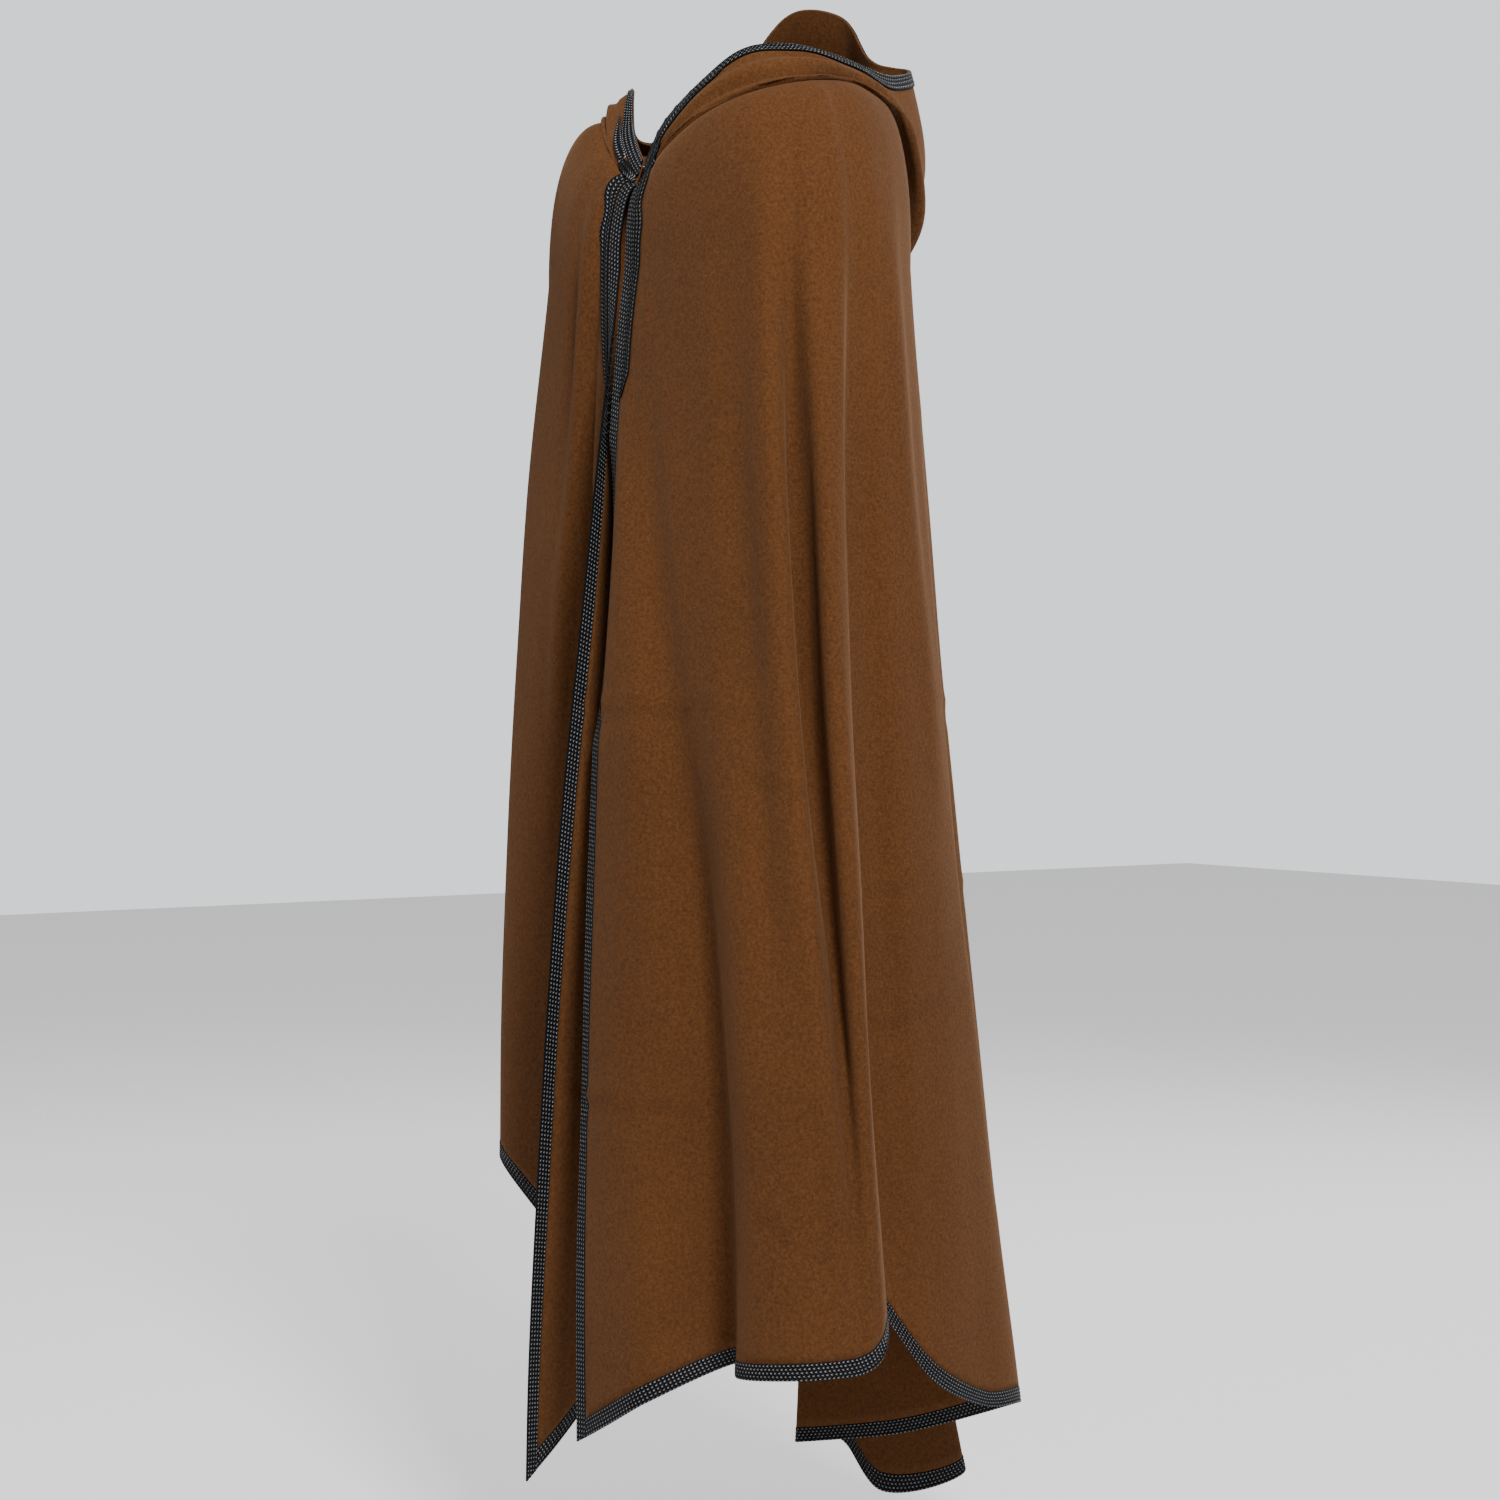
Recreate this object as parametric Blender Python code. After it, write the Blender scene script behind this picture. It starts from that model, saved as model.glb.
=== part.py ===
"""Burnous: a half-round hooded cloak of brown wool, edged with black corded braid.

The front faces -Y, the wearer's left is +X and the origin is at the height where the cloak rests
on the shoulders. Every surface is a thin wall on a grid of points, worked out from the two tables
of folds below: one row for each fold of the body and one for each station round the hood.
"""

import math

import bmesh
import bpy
import numpy as np
from mathutils import Vector
from mathutils.bvhtree import BVHTree

WOOL_THICKNESS = 0.0018
BRAID_THICKNESS = 0.0030
BRAID_WIDTH = 0.0155
CHEST_BRAID_WIDTH = 0.0130
CHEST_BRAID_THICKNESS = 0.0020
SEAM_GAP = 0.0003
HEM_GAP = 0.0004
LAP = 0.0032  # the hood's seam edge stands this far outside the neck edge it is sewn to

CHEST_Z = -0.16
SHOULDER_ROUNDNESS = 2.25  # exponent of the superellipse from the neck over the shoulder
JOINED_SHARE = 0.15  # the share of the drop below the chest where the two fronts still meet
PARTING_POWER = 1.15  # how slowly the fronts begin to part
SLIT_HALF_WIDTH = 0.0022
SLIT_TOP_Z = -0.085
SLIT_END_Z = -0.215
HOOD_CLEARANCE = 0.0052
RIM_REACH = 0.001  # a point of the cloak this near its neck edge is on that edge
RIM_SAMPLES = 30
MOST_SLANT = 1.8
SEAM_LIE_TURN = 40  # degrees from the back over which the hood's seam turns from lying to standing
HANGING_TURN = 45  # degrees from the back over which the hood hangs in a bag
SEAM_SIDE_ROLL = 0.15
HEM_STEP = 0.01
SLOPE_STEP = 0.001

SHOULDER_ROWS = 6
DROP_ROWS = 15
BODY_CELLS = 68
HOOD_CELLS = 40
HOOD_ROWS = 10
DENSE = 900
HOOD_DENSE = 200
CHEST_BRAID_DROP_ROWS = 2

# The seam line of the neck: azimuth from the front toward the wearer's left, radius and height.
NECK_RING = (
    ("right_back", -180, 0.135, -0.005),
    ("right_blade", -150, 0.143, -0.002),
    ("right_behind", -123, 0.145, -0.004),
    ("right_shoulder", -104, 0.148, -0.014),
    ("right_top", -79, 0.155, -0.024),
    ("right_before", -58, 0.151, 0.010),
    ("right_collar", -30, 0.132, -0.034),
    ("front", 0, 0.120, -0.078),
    ("left_collar", 30, 0.130, -0.036),
    ("left_before", 62, 0.145, -0.003),
    ("left_top", 79, 0.143, 0.008),
    ("left_shoulder", 104, 0.135, 0.015),
    ("left_behind", 123, 0.142, 0.006),
    ("left_blade", 150, 0.143, 0.000),
    ("left_back", 180, 0.135, -0.005),
)

# The folds of the body, from the right front edge round the back to the left front edge.
# Columns: place at the chest (x, y), how far the middle stands off the straight line between
# chest and hem (x, y), and place at the hem (x, y, z).
FOLDS = (
    ("right_edge", -0.003, -0.140, 0.006, -0.027, -0.060, -0.213, -1.342),
    ("right_flange", -0.024, -0.146, 0.025, 0.004, -0.067, -0.152, -1.290),
    ("right_groove_a", -0.044, -0.150, -0.006, -0.002, -0.080, -0.098, -1.228),
    ("right_groove_b", -0.062, -0.152, -0.006, -0.001, -0.108, -0.094, -1.180),
    ("right_flank", -0.098, -0.152, -0.006, -0.002, -0.152, -0.138, -1.110),
    ("right_bulge", -0.158, -0.132, -0.016, -0.003, -0.222, -0.152, -1.052),
    ("right_turn", -0.208, -0.090, -0.008, 0.000, -0.258, -0.085, -1.075),
    ("right_side", -0.238, -0.030, -0.010, 0.000, -0.262, 0.002, -1.135),
    ("right_rear", -0.232, 0.035, -0.004, -0.004, -0.235, 0.088, -1.210),
    ("right_back_a", -0.195, 0.082, 0.000, -0.008, -0.178, 0.170, -1.290),
    ("right_back_b", -0.145, 0.110, 0.000, -0.014, -0.105, 0.255, -1.370),
    ("tail_ridge", -0.098, 0.125, 0.000, -0.016, -0.022, 0.302, -1.402),
    ("tail_wall", -0.070, 0.131, 0.000, -0.006, -0.050, 0.208, -1.414),
    ("tail_turn", -0.050, 0.134, 0.000, -0.003, -0.067, 0.172, -1.360),
    ("tail_groove", -0.028, 0.135, 0.000, 0.000, -0.062, 0.111, -1.352),
    ("back_wall", 0.016, 0.135, 0.000, 0.000, 0.000, 0.196, -1.342),
    ("back_ridge", 0.085, 0.124, 0.000, -0.006, 0.070, 0.274, -1.312),
    ("left_rear", 0.148, 0.098, 0.002, -0.009, 0.122, 0.256, -1.292),
    ("left_back_b", 0.186, 0.055, 0.006, -0.010, 0.147, 0.192, -1.282),
    ("left_back_a", 0.203, 0.018, 0.005, -0.010, 0.164, 0.111, -1.240),
    ("left_recess", 0.207, -0.018, 0.002, -0.018, 0.166, 0.044, -1.160),
    ("left_fold_edge", 0.214, -0.040, 0.007, -0.013, 0.276, -0.026, -1.164),
    ("left_fold_rib", 0.207, -0.060, 0.003, -0.009, 0.288, -0.043, -1.180),
    ("left_fold_score", 0.197, -0.079, -0.016, 0.005, 0.290, -0.060, -1.187),
    ("left_crest", 0.184, -0.098, -0.008, -0.012, 0.288, -0.078, -1.189),
    ("left_swell", 0.152, -0.119, -0.003, -0.005, 0.266, -0.122, -1.191),
    ("left_flank", 0.104, -0.132, 0.020, 0.000, 0.206, -0.142, -1.198),
    ("left_valley", 0.054, -0.138, 0.023, -0.023, 0.150, -0.112, -1.200),
    ("left_panel_b", 0.036, -0.139, 0.002, -0.014, 0.122, -0.189, -1.231),
    ("left_panel_a", 0.020, -0.140, 0.002, -0.017, 0.075, -0.203, -1.260),
    ("left_edge", 0.003, -0.140, 0.001, -0.011, 0.030, -0.209, -1.284),
)

# Stations round the hood, from the left of the collar round the back to the right of it.
# Columns: azimuth of its seam on the neck ring, how far it rolls out, how far it hangs down, and
# the place of the mouth's edge (x, y, z).
HOOD_STATIONS = (
    ("left_tip", 3, 0.000, 0.000, 0.0035, -0.113, -0.053),
    ("left_collar", 16, 0.004, 0.000, 0.032, -0.111, -0.022),
    ("left_neck", 38, 0.010, 0.000, 0.066, -0.088, 0.016),
    ("left_side", 62, 0.014, 0.004, 0.090, -0.056, 0.046),
    ("left_top", 80, 0.016, 0.008, 0.100, -0.012, 0.053),
    ("left_shoulder", 102, 0.014, 0.010, 0.101, 0.034, 0.050),
    ("left_behind", 122, 0.022, 0.030, 0.092, 0.083, 0.045),
    ("left_bag", 143, 0.040, 0.110, 0.074, 0.128, 0.046),
    ("mouth_corner", 164, 0.052, 0.205, 0.042, 0.176, 0.064),
    ("bag_back", 180, 0.076, 0.240, 0.004, 0.158, 0.078),
    ("bag_right", 199, 0.070, 0.190, -0.031, 0.146, 0.128),
    ("right_bag", 220, 0.050, 0.090, -0.066, 0.110, 0.136),
    ("right_behind", 240, 0.026, 0.030, -0.105, 0.078, 0.084),
    ("right_shoulder", 260, 0.020, 0.008, -0.146, 0.028, 0.010),
    ("right_top", 281, 0.014, 0.000, -0.146, -0.030, 0.000),
    ("right_peak", 304, 0.008, 0.000, -0.101, -0.064, 0.040),
    ("right_neck", 328, 0.006, 0.000, -0.056, -0.092, -0.006),
    ("right_collar", 343, 0.003, 0.000, -0.026, -0.106, -0.033),
    ("right_tip", 357, 0.000, 0.000, -0.0035, -0.113, -0.053),
)

WOOL_COLOUR = (0.115, 0.042, 0.012, 1.0)
HOOD_COLOUR = (0.125, 0.047, 0.014, 1.0)
BRAID_COLOUR = (0.006, 0.006, 0.007, 1.0)

for leftover in list(bpy.data.objects):
    bpy.data.objects.remove(leftover)


def material(name, colour, roughness):
    made = bpy.data.materials.new(name)
    made.use_nodes = True
    shader = made.node_tree.nodes["Principled BSDF"]
    shader.inputs["Base Color"].default_value = colour
    shader.inputs["Roughness"].default_value = roughness
    return made


def spline_basis(knots, wanted):
    """The matrix that turns points at the knots into a smooth curve's points at the wanted values:
    cubic pieces whose slope at a knot is the mean of its two chords, each weighed by the other's
    length."""
    knots = np.asarray(knots, float)
    count = len(knots)
    slopes = np.zeros((count, count))
    steps = np.diff(knots)
    slopes[0, :2] = np.array([-1, 1]) / steps[0]
    slopes[-1, -2:] = np.array([-1, 1]) / steps[-1]
    for k in range(1, count - 1):
        before = steps[k - 1]
        after = steps[k]
        slopes[k, k + 1] += before / after / (before + after)
        slopes[k, k] += (after / before - before / after) / (before + after)
        slopes[k, k - 1] -= after / before / (before + after)
    span = np.clip(np.searchsorted(knots, wanted, side="right") - 1, 0, count - 2)
    width = steps[span]
    t = (wanted - knots[span]) / width
    places = np.eye(count)
    basis = (2 * t**3 - 3 * t**2 + 1)[:, None] * places[span]
    basis += (3 * t**2 - 2 * t**3)[:, None] * places[span + 1]
    basis += ((t**3 - 2 * t**2 + t) * width)[:, None] * slopes[span]
    basis += ((t**3 - t**2) * width)[:, None] * slopes[span + 1]
    return basis


def neck_point(azimuth):
    """Points of the neck seam at these azimuths, in degrees."""
    ring = np.array([row[1:] for row in NECK_RING])
    wrapped = (np.asarray(azimuth, float) + 180) % 360 - 180
    radius, height = (spline_basis(ring[:, 0], wrapped) @ ring[:, 1:]).T
    turn = np.radians(wrapped)
    return np.stack([radius * np.sin(turn), -radius * np.cos(turn), height], axis=-1)


def body_columns(places):
    """Points down every fold row. places[j, i] runs 0 to 1 from the neck over the shoulder to the
    chest, on a superellipse, then 1 to 2 to the hem, on a parabola that leaves the straight line by
    the row's middle offset."""
    table = np.array([row[1:] for row in FOLDS])
    chest = np.column_stack([table[:, 0:2], np.full(len(table), CHEST_Z)])
    azimuth = np.degrees(np.arctan2(chest[:, 0], -chest[:, 1]))
    neck = neck_point(azimuth)
    turn = np.clip(places, 0, 1) * math.pi / 2
    power = 2 / SHOULDER_ROUNDNESS
    out = np.clip(np.sin(turn), 0, 1) ** power
    fall = np.clip(np.cos(turn), 0, 1) ** power
    drop = np.clip(places - 1, 0, None)
    held = np.zeros(len(table))
    held[0] = held[-1] = JOINED_SHARE
    late = np.clip((drop - held[:, None]) / (1 - held[:, None]), 0, None)
    late = np.where(held[:, None] > 0, late**PARTING_POWER, drop)
    points = np.empty(places.shape + (3,))
    for axis in (0, 1):
        start = neck[:, axis, None]
        middle = chest[:, axis, None]
        end = table[:, 4 + axis, None]
        share = late if axis == 0 else drop
        bow = 4 * drop * (1 - drop) * table[:, 2 + axis, None]
        if axis == 0:
            bow = np.where(held[:, None] > 0, 4 * late * (1 - late) * table[:, 2, None], bow)
        points[..., axis] = start + (middle - start) * out + (end - middle) * share + bow
    points[..., 2] = CHEST_Z + (neck[:, 2, None] - CHEST_Z) * fall
    points[..., 2] += (table[:, 6, None] - CHEST_Z) * drop
    height = points[[0, -1], :, 2]
    along = np.clip((SLIT_TOP_Z - height) / (SLIT_TOP_Z - SLIT_END_Z), 0, 1)
    slit = SLIT_HALF_WIDTH * np.sin(math.pi * along) ** 2
    points[0, :, 0] -= slit[0]
    points[-1, :, 0] += slit[1]
    return points


def body_knots():
    """Fold rows spaced by the square root of the distance between them at the hem."""
    plan = np.array([row[5:7] for row in FOLDS])
    chest = np.array([row[1:3] for row in FOLDS])
    chord = np.linalg.norm(np.diff(plan, axis=0), axis=1)
    chord += np.linalg.norm(np.diff(chest, axis=0), axis=1)
    return np.concatenate([[0], np.cumsum(np.sqrt(chord))])


def hem_slant():
    """How much longer a step down the cloth is than a step square to the hem, at each fold row."""
    hem = np.array([row[5:8] for row in FOLDS])
    level = np.concatenate([[0], np.cumsum(np.linalg.norm(np.diff(hem[:, :2], axis=0), axis=1))])
    slope = np.gradient(hem[:, 2], level)
    return np.minimum(np.sqrt(1 + slope**2), MOST_SLANT)[:, None]


def unit(vectors):
    return vectors / np.linalg.norm(vectors, axis=-1, keepdims=True)


def body_surface(places, dense=DENSE):
    """Points and outward normals on a dense grid: [place round the body, place down it]."""
    knots = body_knots()
    basis = spline_basis(knots, np.linspace(0, knots[-1], dense))
    here = np.einsum("dk,kic->dic", basis, body_columns(places))
    below = np.einsum("dk,kic->dic", basis, body_columns(places + SLOPE_STEP))
    above = np.einsum("dk,kic->dic", basis, body_columns(np.clip(places - SLOPE_STEP, 0, None)))
    round_it = np.gradient(here, axis=0)
    normals = unit(np.cross(round_it, below - above))
    return here, normals


def along_rows(points, normals, starts, ends, cells):
    """Every row resampled: lines at the distances of starts from its first end and at those of ends
    from its last, in metres, and the stretch between split evenly in the dense grid's spacing."""
    length = np.linalg.norm(np.diff(points, axis=0), axis=2)
    length = np.concatenate([np.zeros((1, length.shape[1])), np.cumsum(length, axis=0)])
    index = np.arange(len(points))
    starts = [np.broadcast_to(start, points.shape[1]) for start in starts]
    ends = [np.broadcast_to(end, points.shape[1]) for end in ends]
    lines = len(starts) + len(ends) + cells - 1
    new_points = np.empty((lines,) + points.shape[1:])
    new_normals = np.empty_like(new_points)
    for row in range(points.shape[1]):
        total = length[-1, row]
        first = np.interp([start[row] for start in starts], length[:, row], index)
        last = np.interp([total - end[row] for end in ends], length[:, row], index)
        between = np.linspace(first[-1], last[-1], cells + 1)[1:-1]
        at = np.concatenate([first, between, last[::-1]])
        for axis in range(3):
            new_points[:, row, axis] = np.interp(at, index, points[:, row, axis])
            new_normals[:, row, axis] = np.interp(at, index, normals[:, row, axis])
    return new_points, unit(new_normals)


def shell(name, points, normals, inner, outer, made_of):
    """A closed wall on a grid: its faces stand off the grid by inner and outer, along normals."""
    rows, columns = points.shape[:2]
    mesh = bmesh.new()
    sides = []
    for offset in (outer, inner):
        moved = points + normals * offset
        sides.append([[mesh.verts.new(moved[r, c]) for c in range(columns)] for r in range(rows)])
    out, back = sides
    for r in range(rows - 1):
        for c in range(columns - 1):
            mesh.faces.new((out[r][c], out[r + 1][c], out[r + 1][c + 1]))
            mesh.faces.new((out[r][c], out[r + 1][c + 1], out[r][c + 1]))
            mesh.faces.new((back[r][c], back[r + 1][c + 1], back[r + 1][c]))
            mesh.faces.new((back[r][c], back[r][c + 1], back[r + 1][c + 1]))
    for r in range(rows - 1):
        mesh.faces.new((out[r][0], back[r][0], back[r + 1][0], out[r + 1][0]))
        mesh.faces.new((out[r][-1], out[r + 1][-1], back[r + 1][-1], back[r][-1]))
    for c in range(columns - 1):
        mesh.faces.new((out[0][c], out[0][c + 1], back[0][c + 1], back[0][c]))
        mesh.faces.new((out[-1][c], back[-1][c], back[-1][c + 1], out[-1][c + 1]))
    bmesh.ops.triangulate(mesh, faces=[face for face in mesh.faces if len(face.verts) > 3])
    data = bpy.data.meshes.new(name)
    mesh.to_mesh(data)
    mesh.free()
    if signed_volume(data) < 0:
        data.flip_normals()
    data.materials.append(made_of)
    for face in data.polygons:
        face.use_smooth = True
    made = bpy.data.objects.new(name, data)
    bpy.context.scene.collection.objects.link(made)
    return made


def signed_volume(data):
    total = 0.0
    for face in data.polygons:
        a, b, c = (data.vertices[i].co for i in face.vertices)
        total += a.dot(b.cross(c)) / 6
    return total


wool = material("wool", WOOL_COLOUR, 0.95)
hood_wool = material("hood_wool", HOOD_COLOUR, 0.95)
front_braid = material("front_braid", BRAID_COLOUR, 0.6)
hem_braid = material("hem_braid", BRAID_COLOUR, 0.6)
hood_braid = material("hood_braid", BRAID_COLOUR, 0.6)
chest_braid = material("chest_braid", BRAID_COLOUR, 0.6)

# Places down each fold row: the shoulder, the drop, then the band of braid at the hem.
fold_count = len(FOLDS)
hem = body_columns(np.full((fold_count, 1), 2.0))
above_hem = body_columns(np.full((fold_count, 1), 2.0 - HEM_STEP))
drop_length = np.linalg.norm(hem - above_hem, axis=2) / HEM_STEP
slant = hem_slant()
band_top = 2 - BRAID_WIDTH * slant / drop_length
wool_end = band_top - HEM_GAP * slant / drop_length
shoulder = np.linspace(0, 1, SHOULDER_ROWS + 1)[:-1]
share = np.linspace(0, 1, DROP_ROWS + 1)
wool_places = np.concatenate(
    [np.tile(shoulder, (fold_count, 1)), 1 + (wool_end - 1) * share], axis=1
)
band_places = np.concatenate([band_top, np.full((fold_count, 1), 2.0)], axis=1)
edge_places = np.concatenate([wool_places[:, :-1], band_top, band_places[:, 1:]], axis=1)

half = WOOL_THICKNESS / 2
braid_half = BRAID_THICKNESS / 2
wool_start = BRAID_WIDTH + SEAM_GAP

points, normals = body_surface(wool_places)
ends = (wool_start, wool_start + CHEST_BRAID_WIDTH)
grid, grid_normals = along_rows(points, normals, ends, ends, BODY_CELLS)
shell("cloak_body", grid, grid_normals, -half, half, wool)
body_grid = grid

# A second run of braid lies on the wool beside each front edge, on the wool's own points.
low = SHOULDER_ROWS + CHEST_BRAID_DROP_ROWS + 1
lift = half + SEAM_GAP
top = lift + CHEST_BRAID_THICKNESS
shell("braid_chest_right", grid[:2, 1:low], grid_normals[:2, 1:low], lift, top, chest_braid)
shell("braid_chest_left", grid[-2:, 1:low], grid_normals[-2:, 1:low], lift, top, chest_braid)

points, normals = body_surface(band_places)
band, band_normals = along_rows(points, normals, ends, ends, BODY_CELLS)
shell("braid_hem", band, band_normals, -braid_half, braid_half, hem_braid)

points, normals = body_surface(edge_places)
length = np.linalg.norm(np.diff(points, axis=0), axis=2).sum(axis=0)
right, right_normals = along_rows(points, normals, (0,), (length - BRAID_WIDTH,), 1)
left, left_normals = along_rows(points, normals, (length - BRAID_WIDTH,), (0,), 1)
shell("braid_front_right", right, right_normals, -braid_half, braid_half, front_braid)
shell("braid_front_left", left, left_normals, -braid_half, braid_half, front_braid)


def hood_surface(share_rows, dense=DENSE):
    """Points and outward normals on a dense grid: [place round the hood, place from its seam to the
    mouth]. Each station is a cubic Bezier curve that hangs down and rolls out on its way."""
    table = np.array([row[1:] for row in HOOD_STATIONS])
    seam = neck_point(table[:, 0])
    turn = np.radians(table[:, 0])
    out = np.stack([np.sin(turn), -np.cos(turn), np.zeros(len(turn))], axis=-1)
    mouth = table[:, 3:6]
    steepness = np.clip(np.abs(table[:, 0] - 180) / SEAM_LIE_TURN, 0, 1)[:, None]
    lie = out * (1 - steepness) + np.array([0, 0, 1.0]) * steepness
    first = seam + unit(lie) * LAP
    down = np.array([0, 0, -1.0]) * table[:, 2, None]
    hanging = np.clip(1 - np.abs(table[:, 0] - 180) / HANGING_TURN, 0, 1)[:, None]
    roll = out * table[:, 1, None] * (1 - (1 - SEAM_SIDE_ROLL) * hanging)
    second = first + roll + down * hanging
    third = mouth + out * table[:, 1, None] + down
    knots = np.concatenate([[0], np.cumsum(np.sqrt(np.linalg.norm(np.diff(mouth, axis=0), axis=1)))])
    basis = spline_basis(knots, np.linspace(0, knots[-1], dense))

    def at(share):
        s = share[None, :, None]
        curve = (1 - s) ** 3 * first[:, None] + 3 * (1 - s) ** 2 * s * second[:, None]
        curve = curve + 3 * (1 - s) * s**2 * third[:, None] + s**3 * mouth[:, None]
        return np.einsum("dk,kic->dic", basis, curve)

    here = at(share_rows)
    down_it = at(share_rows + SLOPE_STEP) - at(share_rows - SLOPE_STEP)
    normals = unit(np.cross(np.gradient(here, axis=0), down_it))
    return here, normals


def hood_rows(points, normals, starts, ends, cells):
    """Every column resampled from the seam to the mouth, as along_rows does round the hood."""
    turned, turned_normals = along_rows(
        points.transpose(1, 0, 2), normals.transpose(1, 0, 2), starts, ends, cells
    )
    return turned.transpose(1, 0, 2), turned_normals.transpose(1, 0, 2)


def lifted_off(under, grid):
    """The hood's points lifted off the cloak's shoulders and back where they would sink into them:
    each goes out along the cloak's normal until it is clear. Points nearest to the rim of the neck
    are inside it, and stay."""
    faces = []
    rows, columns = under.shape[:2]
    for r in range(rows - 1):
        for c in range(columns - 1):
            corner = r * columns + c
            faces.append((corner, corner + columns, corner + columns + 1, corner + 1))
    tree = BVHTree.FromPolygons([Vector(point) for point in under.reshape(-1, 3)], faces)
    rim = np.concatenate(
        [under[:-1, 0] + (under[1:, 0] - under[:-1, 0]) * part for part in np.linspace(0, 1, RIM_SAMPLES)]
    )
    lifted = grid.copy()
    for place in np.ndindex(grid.shape[:2]):
        point = Vector(grid[place])
        spot, normal, _, _ = tree.find_nearest(point)
        near_rim = np.linalg.norm(rim - np.array(spot), axis=1).min() < RIM_REACH
        clearance = HOOD_CLEARANCE if place[1] > 0 else LAP
        if near_rim and place[1] > 0:
            continue
        depth = (point - spot).dot(normal)
        if depth < clearance:
            lifted[place] = point + normal * (clearance - depth)
    return lifted


points, normals = hood_surface(np.linspace(0, 1, HOOD_DENSE))
wool_grid, wool_normals = hood_rows(points, normals, (0,), (0, BRAID_WIDTH), HOOD_ROWS)
grid, grid_normals = along_rows(wool_grid, wool_normals, (0,), (0,), HOOD_CELLS)
grid = lifted_off(body_grid, grid)
shell("hood", grid, grid_normals, -half, half, hood_wool)
# The hood's braid lies on its outer face only, so that its inside shows wool up to the edge.
shell("braid_hood", grid[:, -2:], grid_normals[:, -2:], lift, top, hood_braid)
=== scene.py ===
"""Burnous: a flared hooded cloak of brown fulled wool, edged with black corded braid.

The front faces -Y, the wearer's left is +X and the origin is at the height of the shoulders.
Each cloth is a thin wall on a grid of points, worked out from tables of its folds and creases.
"""

import math

import bpy
import numpy as np
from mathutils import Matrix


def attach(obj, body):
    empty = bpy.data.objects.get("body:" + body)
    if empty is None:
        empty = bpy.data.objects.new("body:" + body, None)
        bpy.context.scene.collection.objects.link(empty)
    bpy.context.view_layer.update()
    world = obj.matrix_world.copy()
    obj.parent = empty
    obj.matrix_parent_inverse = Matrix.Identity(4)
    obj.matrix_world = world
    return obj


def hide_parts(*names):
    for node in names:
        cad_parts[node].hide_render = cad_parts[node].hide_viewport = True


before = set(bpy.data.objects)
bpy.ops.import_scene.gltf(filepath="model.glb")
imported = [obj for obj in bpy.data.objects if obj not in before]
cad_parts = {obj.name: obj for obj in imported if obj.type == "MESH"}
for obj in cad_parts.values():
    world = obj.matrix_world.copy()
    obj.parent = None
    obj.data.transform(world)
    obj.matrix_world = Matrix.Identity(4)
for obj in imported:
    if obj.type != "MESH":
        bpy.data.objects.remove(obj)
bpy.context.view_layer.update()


# ---- Wool material ---------------------------------------------------------------------------
# Fulled wool: a brown ground with lighter and darker fibres felted together and a short nap.
# One node group gives its colour and its height from three sizes of noise: slow patches, felt
# about 3 mm across and fibres about 1.4 mm across. The hood's pair of browns is a little
# lighter than the body's: painted light, standing in for the light from above on the hood.

def add_group(name, sockets):
    """A shader node group with these (name, in or out, socket type) sockets, and its two ends."""
    group = bpy.data.node_groups.new(name, "ShaderNodeTree")
    for label, way, kind in sockets:
        group.interface.new_socket(label, in_out=way, socket_type=kind)
    return group, group.nodes.new("NodeGroupInput"), group.nodes.new("NodeGroupOutput")


def add_math(tree, operation, first, second=None, third=None):
    """A math node whose inputs are numbers or other nodes' sockets, and its value."""
    node = tree.nodes.new("ShaderNodeMath")
    node.operation = operation
    for place, given in zip(node.inputs, (first, second, third)):
        if isinstance(given, (int, float)):
            place.default_value = given
        elif given is not None:
            tree.links.new(given, place)
    return node.outputs[0]


def add_noise(tree, vector, scale, detail, roughness, distortion=0.0):
    """A noise texture's value on that vector."""
    node = tree.nodes.new("ShaderNodeTexNoise")
    node.inputs["Scale"].default_value = scale
    node.inputs["Detail"].default_value = detail
    node.inputs["Roughness"].default_value = roughness
    node.inputs["Distortion"].default_value = distortion
    tree.links.new(vector, node.inputs["Vector"])
    return node.outputs[0]


def add_mix(tree, share, first, second):
    """The colour that is share of the way from first to second; each is a colour or a socket."""
    node = tree.nodes.new("ShaderNodeMix")
    node.data_type = "RGBA"
    tree.links.new(share, node.inputs[0])
    for place, given in ((node.inputs[6], first), (node.inputs[7], second)):
        if isinstance(given, tuple):
            place.default_value = given
        else:
            tree.links.new(given, place)
    return node.outputs[2]


wool_group, ends_in, ends_out = add_group("WoolNap", (
    ("Vector", "INPUT", "NodeSocketVector"), ("Dark", "INPUT", "NodeSocketColor"),
    ("Light", "INPUT", "NodeSocketColor"), ("Color", "OUTPUT", "NodeSocketColor"),
    ("Height", "OUTPUT", "NodeSocketFloat")))
where = ends_in.outputs["Vector"]
patches = add_noise(wool_group, where, 4.0, 2.0, 0.5)
felt = add_noise(wool_group, where, 330.0, 3.0, 0.65, 0.4)
fibres = add_noise(wool_group, where, 700.0, 3.0, 0.7, 1.2)
mixed = add_math(wool_group, "MULTIPLY_ADD", patches, 0.22, 0.10)
mixed = add_math(wool_group, "MULTIPLY_ADD", felt, 0.80, mixed)
mixed = add_math(wool_group, "MULTIPLY_ADD", fibres, 0.55, mixed)
light_share = wool_group.nodes.new("ShaderNodeMapRange")
light_share.inputs["From Min"].default_value = 0.62
light_share.inputs["From Max"].default_value = 1.13
wool_group.links.new(mixed, light_share.inputs["Value"])
coloured = add_mix(wool_group, light_share.outputs[0], ends_in.outputs["Dark"],
                   ends_in.outputs["Light"])
wool_group.links.new(coloured, ends_out.inputs["Color"])
nap_height = add_math(wool_group, "MULTIPLY", fibres, 0.35)
nap_height = add_math(wool_group, "MULTIPLY_ADD", felt, 0.65, nap_height)
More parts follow.
